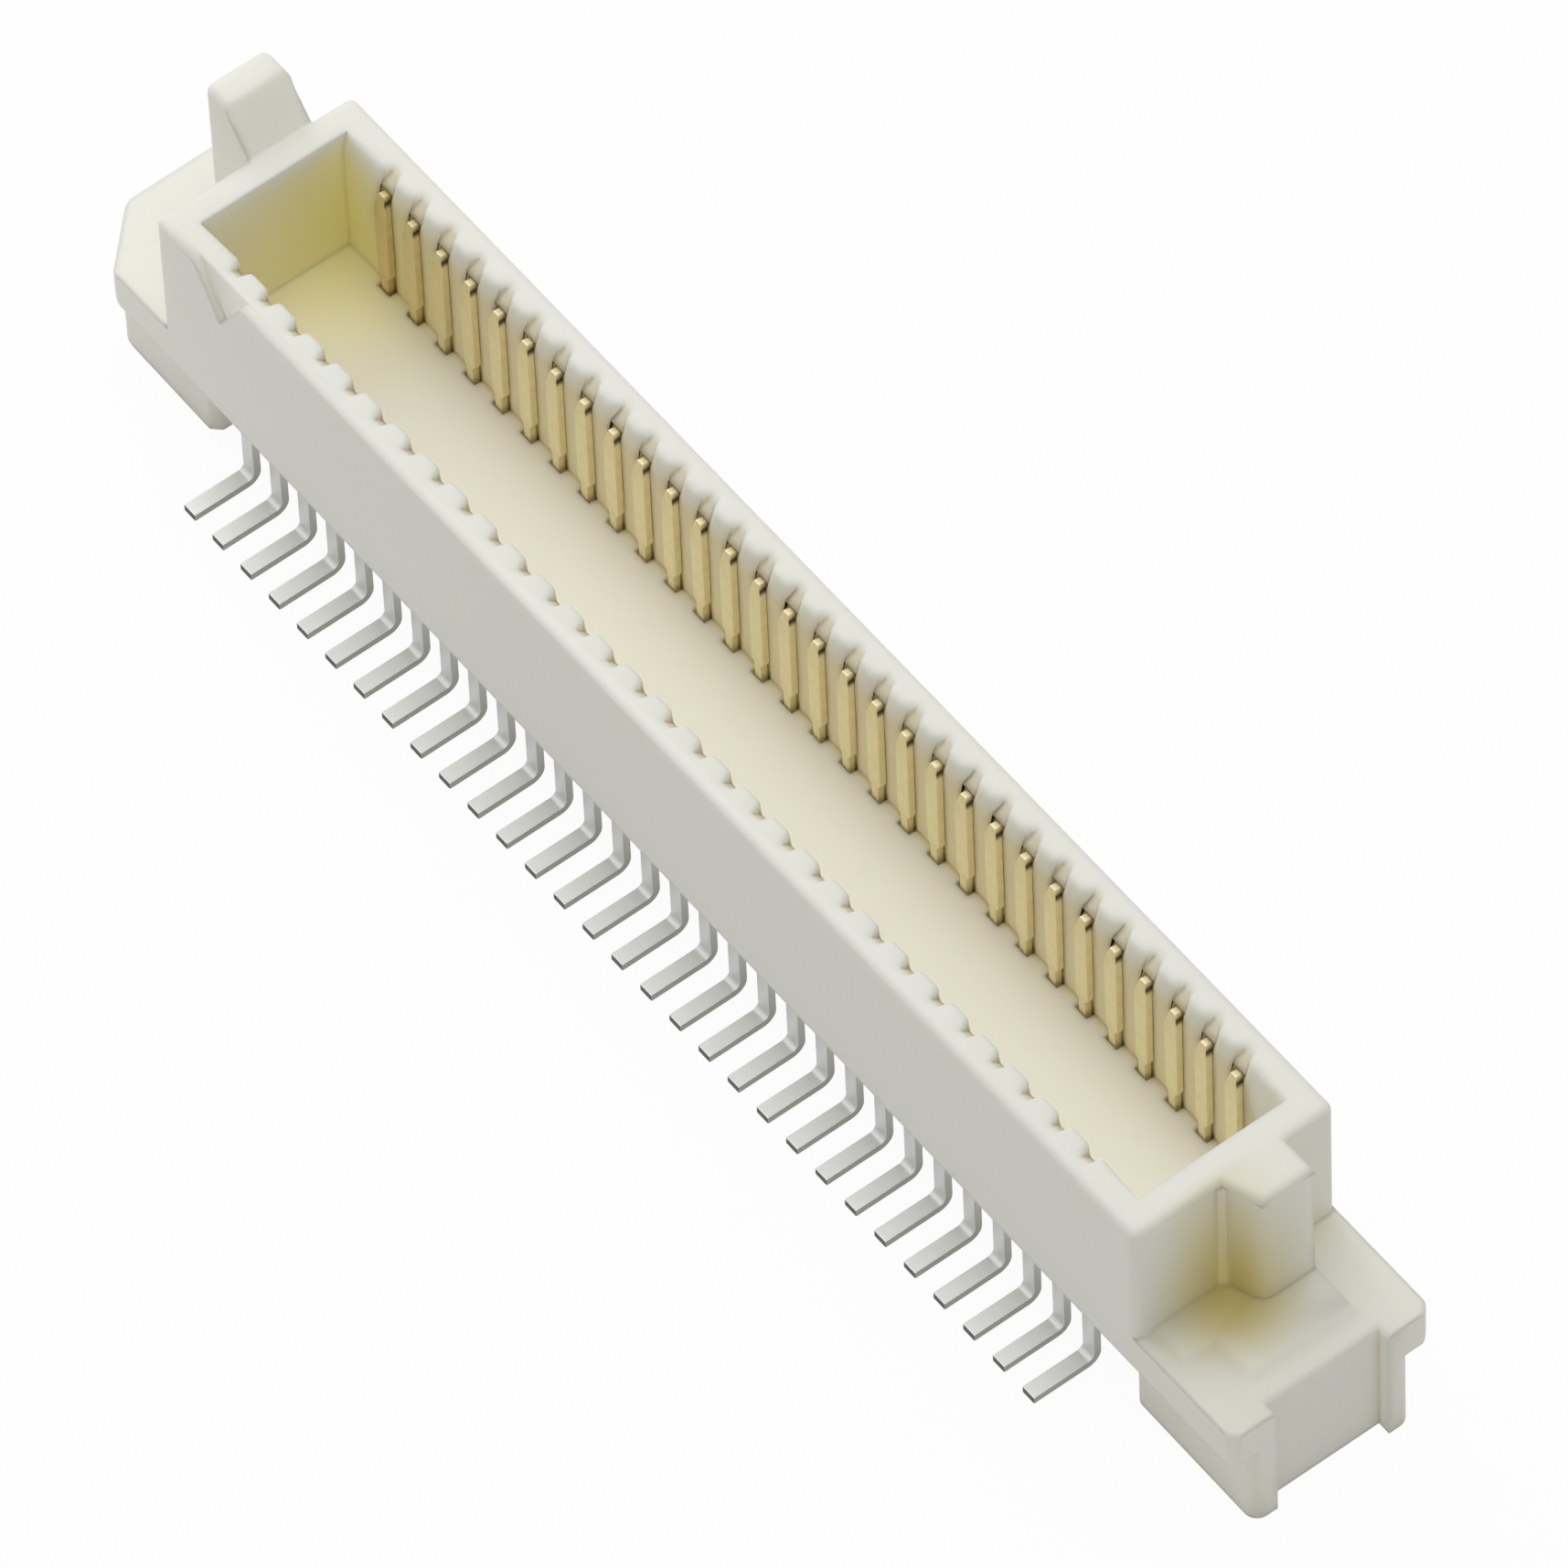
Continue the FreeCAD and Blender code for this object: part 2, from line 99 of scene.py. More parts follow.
# Where painted shade and painted light shining through make the plastic look most yellow: centre, reach
# and squash in millimetres
VALLEY = (10.25, -0.35, 2.25)
VALLEY_REACH = 1.25
VALLEY_SQUASH = (1.0, 1.0, 0.38)
FLANGE_REACH = 3.2
FLANGE_SQUASH = (1.0, 1.0, 0.5)
DEEP_END = (-9.58, 0.9, 2.9)
DEEP_END_REACH = 2.8
DEEP_END_SQUASH = (1.0, 1.0, 1.0)
DEEP_END_SHARE = 0.9

# Bands in millimetres over which those painted tints come and go
PITCH = 0.6
ROW_SCALLOP = 0.12
ROW_TOP = (4.05, 4.3)
ROW_ENDS = (8.85, 9.0)
WALL_FACE = (0.95, 1.05)
WALL_BACK = (1.3, 1.45)
POST_END = (9.8, 9.95)
FAR_END_WALL = (-9.75, -9.65)
CAVITY_TOP = (4.0, 4.36)
CAVITY_SIDE = (1.2, 1.35)

# Grain, clouds and the painted yellow light in the plastic's hollows
RAY_SAMPLES = 4
HOLLOW_REACH = 1.6 * MM
HOLLOW_BAND = (0.15, 0.8)
NOISE_BAND = (0.3, 0.7)
FINE_DETAIL = 3.0
CLOUD_SCALE = 0.5
CLOUD_SHARES = (0, 0.08)
GRAIN_ROUGHNESS = (0.42, 0.54)
GRAIN_BUMP = (0.12, 0.004 * MM)

# Where the metal's colours change, in millimetres, and how strong each one is, painted shade among them
FACING_BAND = (0.5, 0.9)
PLATING_FADE = 0.12
PLATING_WANDER = 0.12
WANDER_SCALE = 2.5
ROLLED_ACROSS = 40
ROLLED_UP = 1.5
STAIN_SCALE = 6.0
STAIN_BAND = (0.35, 0.75)
STAIN_SHARES = (0, 0.25)
CUT_END = (TAIL_TIP / MM - 0.1, TAIL_TIP / MM - 0.03)
LOW_SIDE = (0.15, 1.3)
LOW_SIDE_SHARES = (1.0, 0.3)
LEG_FACE_SHADE = 0.35
SHADED_FAR_CONTACTS = (-9.2, -6.5)
FAR_CONTACT_SHADE_SHARES = (0.9, 0)
PAINTED_HOLE_LOW = (TIP_LEVEL / MM - 0.19, TIP_LEVEL / MM - 0.12)
PAINTED_HOLE_HIGH = (TIP_LEVEL / MM - 0.09, TIP_LEVEL / MM - 0.03)
METALLIC_SHARES = (0.5, 0.4)
ROLLED_ROUGHNESS = (0.38, 0.48)
ROLLED_BUMP = (0.08, 0.002 * MM)

# Top of a blade, as shares of the tip's length, its lean and the blade's width
TIP_PROFILE = ((0.5, 0.45, 0.8), (0.85, 0.1, 0.97))
BEND_GAP = 0.04 * MM
NECK_FLARE = 0.06 * MM
NECK_SHOULDER = 0.85
NECK_STEP_HIGH = 0.04 * MM
NECK_STEP_LOW = 0.01 * MM
BOARD_BEND_STEPS = 8

# Camera and lamps: a lamp's name, place and size in millimetres, and power in watts
CAMERA_TARGET = (0.564, 0.255, 2.0)
CAMERA_SENSOR = 36
CAMERA_NEAR = 1 * MM
CAMERA_FAR = 10
LAMPS = (
    ("top_lamp", (-10, 10, 110), 80, 0.041),
    ("side_lamp", (-95, 10, 65), 60, 0.027),
)
FLOOR_LEVEL = -0.002 * MM


def length(name, description, millimetres):
    """Return a property for a length, given in millimetres."""
    return bpy.props.FloatProperty(
        name=name,
        description=description,
        default=millimetres * MM,
        min=0,
        precision=6,
        subtype="DISTANCE",
        unit="LENGTH",
    )


def share(name, description, value):
    """Return a property for a number between 0 and 1."""
    return bpy.props.FloatProperty(
        name=name,
        description=description,
        default=value,
        min=0,
        max=1,
        subtype="FACTOR",
    )


def colour(name, description, value):
    """Return a property for a colour."""
    return bpy.props.FloatVectorProperty(
        name=name,
        description=description,
        default=value,
        min=0,
        max=1,
        size=4,
        subtype="COLOR",
    )


def angle(name, description, degrees):
    """Return a property for an angle, given in degrees."""
    return bpy.props.FloatProperty(
        name=name,
        description=description,
        default=math.radians(degrees),
        subtype="ANGLE",
        unit="ROTATION",
    )


class MouldingSettings(bpy.types.PropertyGroup):
    """Sizes and colours of the moulded housing."""

    edge_round: length("Edge round", "Rounding of the moulded edges", 0.09)
    small_round: length("Small round", "Rounding of edges that stand close together", 0.04)
    post_round: length("Post round", "Rounding of the upright edges of the post", 0.13)
    tab_round: length("Tab round", "Rounding of the sloping edges of the tab", 0.09)
    land_slope: length("Land slope", "Width of the slope round the raised land", 0.1)
    lobe_round: length("Lobe round", "Rounding of the lobes between the notches", 0.07)
    soft_edge: length("Soft edge", "Softening of every edge and hollow line", 0.12)
    near_reach: length("Near lobes", "Lobes of the near row, from the centre line", 1.11)
    dissolve: angle("Flat merge", "Faces flatter than this are merged", 1.5)
    notch_mouth: length("Notch mouth", "Half width of a rim notch at the cavity", 0.16)
    notch_back: length("Notch back", "Half width of a rim notch at its back", 0.05)
    plastic: colour("Plastic", "Lit plastic", (0.87, 0.87, 0.795, 1))
    # Painted light: the yellow that hollows take on, also the colour of the random clouds
    hollow_light_and_cloud: colour("Warm plastic", "Plastic in hollows", (0.90, 0.87, 0.74, 1))
    # Painted shade: the dark yellow beside the post, and the painted shadow over the end that holds it
    painted_shade_colour: colour("Deep plastic", "Plastic where light is trapped", (0.64, 0.52, 0.13, 1))
    # Painted light: the far end of the cavity made to look lit through
    painted_glow: colour("Glowing plastic", "Plastic lit through at the far end", (0.98, 0.90, 0.42, 1))
    # Painted reflection and light: the gold of the contacts and the brightness of their wall, painted
    # on the plastic of the rows
    row: colour("Row plastic", "Plastic that reflects the contacts", (0.98, 0.85, 0.58, 1))
    painted_row_light_amount: share("Row tint", "Row plastic between and above the contacts", 0.7)
    # Painted shade beside the post, and painted shadow over the end that holds the post
    valley_shade_amount: share("Valley tint", "Deep colour beside the post", 0.88)
    flange_shadow_amount: share("Flange tint", "Deep colour over the end that holds the post", 0.06)
    texture: length("Mould texture", "Spacing of the mould's spark texture", 0.035)


class ContactSettings(bpy.types.PropertyGroup):
    """Sizes and colours of the formed contacts."""

    thickness: length("Thickness", "Sheet thickness", 0.12)
    face: length("Blade face", "Blade face from the centre line", 0.97)
    tip_length: length("Tip length", "Part that narrows and leans back", 0.32)
    tip_width: length("Tip width", "Width of the top", 0.11)
    tip_setback: length("Tip setback", "Lean of the top towards the wall", 0.05)
    neck_width: length("Neck width", "Width of the narrow foot", 0.13)
    neck_low: length("Neck start", "Lower end of the narrow foot", 1.95)
    neck_high: length("Neck end", "Upper end of the narrow foot", 2.4)
    jog_low: length("Jog start", "Lower end of the jog", 1.7)
    leg_inner: length("Leg face", "Inner face of the leg from the centre line", 1.205)
    bend: length("Bend", "Inside radius of the bend at the board", 0.1)
    edge_round: length("Edge round", "Rounding of the stamped edges", 0.04)
    gold: colour("Gold", "Plated blade", (0.99, 0.90, 0.60, 1))
    # Random stains, and painted shade over the contacts at the far end of the rows
    worn_and_shaded_gold: colour("Worn gold", "Darker patches of the plating", (0.74, 0.60, 0.30, 1))
    tin: colour("Tin", "Plated tail", (0.90, 0.91, 0.90, 1))
    # Painted shade on the tails' side faces and on the faces of the legs
    shaded: colour("Shaded metal", "Side faces of the tail", (0.34, 0.34, 0.30, 1))
    # Painted shade: the end of each tail made near black
    cut: colour("Cut metal", "Cut end of the tail", (0.05, 0.05, 0.04, 1))
    # Painted shadow: the dark hole beside the top of each blade, painted on its side face
    gap: colour("Gap", "Cut face beside the top of a blade", (0.10, 0.07, 0.02, 1))
    plating_line: length("Plating line", "Height at which gold meets tin", 1.62)


class StageSettings(bpy.types.PropertyGroup):
    """Camera, lamps and floor."""

    azimuth: angle("Azimuth", "Camera, round the object", 54.509)
    elevation: angle("Elevation", "Camera, above the board", 54.717)
    roll: angle("Roll", "Camera, about its own axis", -2.773)
    lens: bpy.props.FloatProperty(
        name="Lens", description="Focal length for a 36 mm sensor", default=469.32, min=1)
    distance: length("Distance", "Camera to its target", 256.909)
    floor: colour("Floor", "Floor", (0.9, 0.9, 0.89, 1))
    white_share: share("White share", "How far the floor is lifted to white", 0.95)
    sky: share("Sky", "Even light from all round", 0.43)


class Socket:
    """A shader socket that can be used in Python expressions."""

    def __init__(self, tree, socket):
        self.tree = tree
        self.socket = socket

    def _maths(self, operation, a, b):
        return self.tree.add("ShaderNodeMath", {"operation": operation}, [a, b])

    def __add__(self, other):
        return self._maths("ADD", self, other)

    def __radd__(self, other):
        return self._maths("ADD", other, self)

    def __sub__(self, other):
        return self._maths("SUBTRACT", self, other)

    def __rsub__(self, other):
        return self._maths("SUBTRACT", other, self)

    def __mul__(self, other):
        return self._maths("MULTIPLY", self, other)

    def __rmul__(self, other):
        return self._maths("MULTIPLY", other, self)

    def __abs__(self):
        return self.tree.add("ShaderNodeMath", {"operation": "ABSOLUTE"}, [self])


class Finish:
    """A material and the nodes that are added to it."""

    def __init__(self, name):
        self.material = bpy.data.materials.new(name)
        self.material.use_nodes = True
        self.nodes = self.material.node_tree.nodes
        self.links = self.material.node_tree.links
        self.shader = self.nodes["Principled BSDF"]

    @classmethod
    def of_tree(cls, tree):
        """Return an object that adds nodes to a tree that isn't a material's."""
        finish = cls.__new__(cls)
        finish.nodes = tree.nodes
        finish.links = tree.links
        return finish

    def add(self, kind, settings=None, values=None, output=0):
        """Add a node, apply its settings, fill its sockets and return one of its outputs."""
        node = self.nodes.new(kind)
        for name, value in (settings or {}).items():
            setattr(node, name, value)
        pairs = values.items() if isinstance(values, dict) else enumerate(values or [])
        for key, value in pairs:
            self.feed(node.inputs[key], value)
        return Socket(self, node.outputs[output])

    def feed(self, target, value):
        """Link or set one input."""
        if isinstance(value, Socket):
            self.links.new(value.socket, target)
        else:
            target.default_value = value

    def set(self, **values):
        """Feed inputs of the surface shader, named with underscores for spaces."""
        for name, value in values.items():
            self.feed(self.shader.inputs[name.replace("_", " ")], value)

    def place(self):
        """Return the surface point in millimetres."""
        point = self.add("ShaderNodeTexCoord", output="Object")
        return self.add("ShaderNodeVectorMath", {"operation": "SCALE"}, {0: point, "Scale": 1 / MM})

    def split(self, vector):
        """Return the three parts of a vector."""
        first = self.add("ShaderNodeSeparateXYZ", None, [vector])
        return [Socket(self, output) for output in first.socket.node.outputs]

    def near(self, point, centre, reach, squash):
        """Return 1 at a centre, falling smoothly to 0 at reach from it, in squashed space."""
        squashed = self.add("ShaderNodeVectorMath", {"operation": "MULTIPLY"}, [point, squash])
        target = [a * b for a, b in zip(centre, squash)]
        gap = self.add("ShaderNodeVectorMath", {"operation": "DISTANCE"}, [squashed, target], "Value")
        smooth = {"interpolation_type": "SMOOTHSTEP"}
        return self.add("ShaderNodeMapRange", smooth, [gap, 0.0, reach, 1.0, 0.0])

    def noise(self, point, scale, detail=2.0):
        """Return noise with the given number of bumps in a millimetre."""
        return self.add("ShaderNodeTexNoise", None, {"Vector": point, "Scale": scale, "Detail": detail})

    def span(self, value, low, high, to_low=0.0, to_high=1.0):
        """Map value from low and high to two other numbers, and hold it between them."""
        return self.add("ShaderNodeMapRange", None, [value, low, high, to_low, to_high])

    def rise(self, value, band):
        """Return 0 below a band of values, climbing to 1 above it."""
        return self.span(value, *band)

    def fall(self, value, band):
        """Return 1 below a band of values, falling to 0 above it."""
        return self.span(value, *band, 1, 0)

    def blend(self, share_of_second, first, second):
        """Mix two colours, by the colour sockets of the Mix node."""
        values = {"Factor": share_of_second, 6: first, 7: second}
        return self.add("ShaderNodeMix", {"data_type": "RGBA"}, values, 2)

    def bump(self, height, strength, distance, normal=None):
        """Return a normal that is bumped by height, over a distance in metres."""
        values = {"Strength": strength, "Distance": distance, "Height": height}
        if normal:
            values["Normal"] = normal
        return self.add("ShaderNodeBump", None, values)

    def looking_rays(self):
        """Return 1 for rays that show the surroundings: to the camera, off gloss or through glass."""
        kinds = ("Is Camera Ray", "Is Glossy Ray", "Is Transmission Ray")
        seen, mirrored, through = [self.add("ShaderNodeLightPath", output=kind) for kind in kinds]
        return seen + mirrored + through


def painted_light_and_shade(finish, point, settings):
    """Return the shares of painted light and shade: painted shade beside the post, painted light
    shining through at the far end and painted reflections by the contacts.
    """
    across, over, height = finish.split(point)
    # Painted reflection of the contacts, and painted light, on the wall between and above them
    wave = finish.add("ShaderNodeMath", {"operation": "COSINE"}, [across * (2 * math.pi / PITCH)])
    below_rim = finish.fall(height + wave * ROW_SCALLOP, ROW_TOP)
    along_row = finish.fall(abs(across), ROW_ENDS)
    inner_face = finish.rise(abs(over), WALL_FACE) * finish.fall(abs(over), WALL_BACK)
    row = below_rim * along_row * inner_face
    # Painted shade beside the post, and painted shadow over the end round it
    valley_shade = finish.near(point, VALLEY, VALLEY_REACH, VALLEY_SQUASH) * settings.valley_shade_amount
    flange_shadow = finish.near(point, VALLEY, FLANGE_REACH, FLANGE_SQUASH) * settings.flange_shadow_amount
    painted_shade_share = (valley_shade + flange_shadow) * finish.rise(across, POST_END)
    # Painted light shining through the far end of the cavity
    lit_end = finish.near(point, DEEP_END, DEEP_END_REACH, DEEP_END_SQUASH)
    far_end = lit_end * finish.rise(across, FAR_END_WALL)
    inside = finish.fall(height, CAVITY_TOP) * finish.fall(abs(over), CAVITY_SIDE)
    return painted_shade_share, far_end * inside * DEEP_END_SHARE, row * settings.painted_row_light_amount


def moulded_plastic(settings):
    """Return the housing's yellowish white, slightly grained plastic, with painted yellow light in its
    hollows, painted shade beside the post, painted light shining through at the far end and painted
    reflections by the contacts.
    """
    finish = Finish("moulded_plastic")
    point = finish.place()
    sampled = {"samples": RAY_SAMPLES}
    # Painted yellow light in the hollows, by how shut in each point is
    hollow = finish.add("ShaderNodeAmbientOcclusion", sampled, {"Distance": HOLLOW_REACH}, output="AO")
    hollow_light_share = 1 - finish.rise(hollow, HOLLOW_BAND)
    cloud = finish.noise(point, CLOUD_SCALE)
    hollow_light_and_cloud = finish.blend(hollow_light_share, settings.plastic, settings.hollow_light_and_cloud)
    clouded = finish.blend(finish.span(cloud, *NOISE_BAND, *CLOUD_SHARES), hollow_light_and_cloud, settings.hollow_light_and_cloud)
    painted_shade_share, painted_glow_share, painted_row_light_share = painted_light_and_shade(finish, point, settings)
    with_row_light = finish.blend(painted_row_light_share, clouded, settings.row)
    with_painted_glow = finish.blend(painted_glow_share, with_row_light, settings.painted_glow)
    shade = finish.blend(painted_shade_share, with_painted_glow, settings.painted_shade_colour)
    grain = finish.noise(point, MM / settings.texture, FINE_DETAIL)
    softened = finish.add("ShaderNodeBevel", sampled, {"Radius": settings.soft_edge})
    finish.set(
        Base_Color=shade,
        Roughness=finish.span(grain, *NOISE_BAND, *GRAIN_ROUGHNESS),
        Normal=finish.bump(grain, *GRAIN_BUMP, softened),
        IOR=1.5,
        Subsurface_Weight=0.35,
        Subsurface_Radius=(1.0, 0.88, 0.5),
        Subsurface_Scale=0.4 * MM,
    )
    return finish.material


def plated_metal(settings):
    """Return gold over the blade and tin over the tail, with fine rolling lines, painted shade on the
    tails, the legs and the far contacts, and a painted shadow beside the top of each blade.
    """
    finish = Finish("plated_metal")
    point = finish.place()
    across, over, height = finish.split(point)
    facing = finish.split(finish.add("ShaderNodeNewGeometry", output="Normal"))
    line = settings.plating_line / MM
    wander = finish.noise(point, WANDER_SCALE) * PLATING_WANDER
    gold_share = finish.span(height + wander, line, line + PLATING_FADE)
    line_place = [across * ROLLED_ACROSS, 0.0, height * ROLLED_UP]
    rolled = finish.noise(finish.add("ShaderNodeCombineXYZ", None, line_place), 1.0, FINE_DETAIL)
    side_face = finish.rise(abs(facing[0]), FACING_BAND)
    flat_face = finish.rise(abs(facing[1]), FACING_BAND)
    # Painted shade low on the tails' side faces, on the faces of the legs and on the tail ends
    cut_end_shade = flat_face * finish.rise(abs(over), CUT_END)
    low_side_shade = side_face * finish.span(height, *LOW_SIDE, *LOW_SIDE_SHARES)
    leg = finish.blend(low_side_shade + flat_face * LEG_FACE_SHADE, settings.tin, settings.shaded)
    tin = finish.blend(cut_end_shade, leg, settings.cut)
    # Object places repeat from one contact to the next, so the far end, where the gold is darkened by
    # painted shade, is told by world place
    along_row = finish.split(finish.add("ShaderNodeNewGeometry", output="Position"))[0] * (1 / MM)
    far_end_shade = finish.span(along_row, *SHADED_FAR_CONTACTS, *FAR_CONTACT_SHADE_SHARES)
    stain = finish.span(finish.noise(point, STAIN_SCALE), *STAIN_BAND, *STAIN_SHARES)
    gold = finish.blend(stain + far_end_shade, settings.gold, settings.worn_and_shaded_gold)
    # Painted shadow: the dark hole beside the top of each blade, on the blade's side face
    painted_hole_band = finish.rise(height, PAINTED_HOLE_LOW) * finish.fall(height, PAINTED_HOLE_HIGH)
    blade = finish.blend(side_face * painted_hole_band, gold, settings.gap)
    finish.set(
        Base_Color=finish.blend(gold_share, tin, blade),
        Metallic=finish.span(gold_share, 0, 1, *METALLIC_SHARES),
        Roughness=finish.span(rolled, *NOISE_BAND, *ROLLED_ROUGHNESS),
        Normal=finish.bump(rolled, *ROLLED_BUMP),
    )
    return finish.material


def use_smooth_flats(mesh, steepest):
    """Shade a mesh smoothly, with sharp lines where faces meet at more than steepest."""
    mesh.shade_smooth()
    mesh.set_sharp_from_angle(angle=steepest)


def new_piece(name, mesh, material):
    """Put a mesh in the scene with its material, riding on the object's body."""
    piece = bpy.data.objects.new(name, mesh)
    bpy.context.scene.collection.objects.link(piece)
    mesh.materials.clear()
    mesh.materials.append(material)
    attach(piece, "root")
    return piece


def round_piece(piece, width, segments, limit):
    """Round the edges of a piece that are sharper than limit."""
    bevel = piece.modifiers.new("round_edges", "BEVEL")
    bevel.width = width
    bevel.segments = segments
    bevel.limit_method = "ANGLE"
    bevel.angle_limit = limit
    bevel.use_clamp_overlap = True
    bevel.harden_normals = True


def station_of(x):
    """Return the contact station nearest to x."""
    return min(STATIONS, key=lambda station: abs(station - x))


def rim_of(shape):
    """Return the level of the rim over the rows."""
    return max(vertex.co.z for vertex in shape.verts if abs(vertex.co.x) < FIRST_STATION)


def flare_notches(shape, settings):
    """Slope the rim notches up to the rim, and open those of the far row towards the cavity."""
    rim = rim_of(shape)
    for vertex in shape.verts:
        station = station_of(vertex.co.x)
        offset = vertex.co.x - station
        reach = abs(vertex.co.y)
        if abs(abs(offset) - SLOT_HALF) > SAME or not RIM_INNER < reach < NOTCH_BACK + SAME:
            continue
        if reach > NOTCH_BACK - SAME and vertex.co.z > LEDGE_LEVEL - SAME:
            vertex.co.x = station + math.copysign(settings.notch_back, offset)
            vertex.co.z = rim
        elif abs(vertex.co.z - rim) < SAME and vertex.co.y < 0:
            vertex.co.y = -settings.near_reach
        elif abs(vertex.co.z - rim) < SAME:
            vertex.co.x = station + math.copysign(settings.notch_mouth, offset)


def is_lobe_edge(edge, rim):
    """Say whether an edge bounds one of the lobes between the notches."""
    ends = [vertex.co for vertex in edge.verts]
    if min(abs(end.x) for end in ends) > NOTCH_REACH or max(end.z for end in ends) < rim - SAME:
        return False
    level = all(LEDGE_LEVEL - SAME < end.z < rim + SAME for end in ends)
    across = all(RIM_INNER - SAME < abs(end.y) < NOTCH_BACK + SAME for end in ends)
    return level and across


def is_plain_edge(edge, shortest):
    """Say whether an edge stands clear of the rows and of the rounded corners."""
    ends = [vertex.co for vertex in edge.verts]
    rows = all(abs(end.x) < NOTCH_REACH for end in ends) and max(abs(end.y) for end in ends) < ROW_EDGE
    crowded = any(near.calc_length() < shortest for vertex in edge.verts for near in vertex.link_edges)
    return not rows and not crowded


def is_post_edge(edge):
    """Say whether an edge is an upright corner of the post, hollow ones too."""
    ends = [vertex.co for vertex in edge.verts]
    drop = abs(ends[0].z - ends[1].z)
    upright = drop > POST_CORNER_LEAST and (ends[0] - ends[1]).length < drop + SAME
    within = all(OUTER_END - SAME < end.x < POST_OUTER + SAME for end in ends)
    between = all(abs(end.y) < POST_SIDE for end in ends)
    return upright and within and between and min(end.z for end in ends) > LAND_TOP - SAME


def is_tab_edge(edge, rim):
    """Say whether an edge is one of the two that slope down the tab to the rim."""
    ends = [vertex.co for vertex in edge.verts]
    drop = abs(ends[0].z - ends[1].z)
    sloping = edge.calc_length() > TAB_RIDGE_LEAST and drop > TAB_RIDGE_DROP
    return sloping and all(end.x < 0 and end.z > rim - SAME for end in ends)


def slope_land(shape, width):
    """Turn the low step round the raised land into a slope."""
    for vertex in shape.verts:
        if abs(vertex.co.z - LAND_TOP) > SAME or vertex.co.x < OUTER_END - SAME:
            continue
        if vertex.co.x > LAND_OUTER:
            vertex.co.x -= width
        if vertex.co.y < LAND_NEAR:
            vertex.co.y += width


def round_group(shape, edges, width, segments, held=True):
    """Round a group of edges. Held ones are rounded less where their neighbours stand close."""
    bmesh.ops.bevel(
        shape,
        geom=edges,
        offset=width,
        segments=segments,
        profile=0.5,
        affect="EDGES",
        clamp_overlap=held,
    )


def sharp_edges(shape):
    """Return the outward edges where two faces meet at a clear angle."""
    outward = [edge for edge in shape.edges if len(edge.link_faces) == 2 and edge.is_convex]
    return [edge for edge in outward if edge.calc_face_angle(0) > MOULDED_EDGE]


class BuildHousing(bpy.types.Operator):
    """Round the edges of the moulded housing and give it its plastic"""

    bl_idname = "pin_header.build_housing"
    bl_label = "Housing"

    def execute(self, context):
        settings = context.scene.moulding_settings
        mesh = bpy.data.meshes.new("moulding")
        shape = bmesh.new()
        shape.from_mesh(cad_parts["housing"].data)
        bmesh.ops.remove_doubles(shape, verts=shape.verts, dist=MERGED)
        bmesh.ops.dissolve_limit(
            shape,
            angle_limit=settings.dissolve,
            verts=shape.verts,
            edges=shape.edges,
        )
        flare_notches(shape, settings)
        bmesh.ops.remove_doubles(shape, verts=shape.verts, dist=MERGED)
        slope_land(shape, settings.land_slope)
        rim = rim_of(shape)
        lobes = [edge for edge in sharp_edges(shape) if is_lobe_edge(edge, rim)]
        round_group(shape, lobes, settings.lobe_round, segments=3, held=False)
        corners = [edge for edge in shape.edges if is_post_edge(edge)]
        round_group(shape, corners, settings.post_round, segments=4, held=False)
        ridges = [edge for edge in sharp_edges(shape) if is_tab_edge(edge, rim)]
        round_group(shape, ridges, settings.tab_round, segments=4, held=False)
        for width, segments in ((settings.edge_round, 3), (settings.small_round, 2)):
            plain = [edge for edge in sharp_edges(shape) if is_plain_edge(edge, ROOM_TO_ROUND * width)]
            round_group(shape, plain, width, segments)
        shape.to_mesh(mesh)
        shape.free()
        use_smooth_flats(mesh, MOULDED_CREASE)
        piece = new_piece("moulding", mesh, moulded_plastic(settings))
        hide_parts("housing")
        return {"FINISHED"}


def strip_stations(settings):
    """Return the middle line of a contact from its top to its tail, with its half widths."""
    half = settings.thickness / 2
    blade = settings.face + half
    leg = settings.leg_inner + half
    wide = BLADE_WIDTH / 2
    narrow = settings.neck_width / 2
    stations = [(blade + settings.tip_setback, TIP_LEVEL, settings.tip_width / 2)]
    for down, lean, width in TIP_PROFILE:
        level = TIP_LEVEL - settings.tip_length * down
        stations.append((blade + settings.tip_setback * lean, level, wide * width))
    stations += [
        (blade, TIP_LEVEL - settings.tip_length - BEND_GAP, wide),
        (blade, settings.neck_high + NECK_FLARE, wide),
        (blade, settings.neck_high, wide * NECK_SHOULDER),
        (blade, settings.neck_high - NECK_STEP_HIGH, narrow),
        (blade, settings.neck_low + NECK_STEP_LOW, narrow),
        (blade, settings.neck_low, wide),
        (leg, settings.jog_low, wide),
    ]
    centre = Vector((leg + half + settings.bend, half * 2 + settings.bend))
    radius = settings.bend + half
    for step in range(BOARD_BEND_STEPS + 1):
        turn = math.radians(180 + 90 * step / BOARD_BEND_STEPS)
        stations.append((centre.x + radius * math.cos(turn), centre.y + radius * math.sin(turn), wide))
    stations.append((TAIL_TIP, half, wide))
    return stations


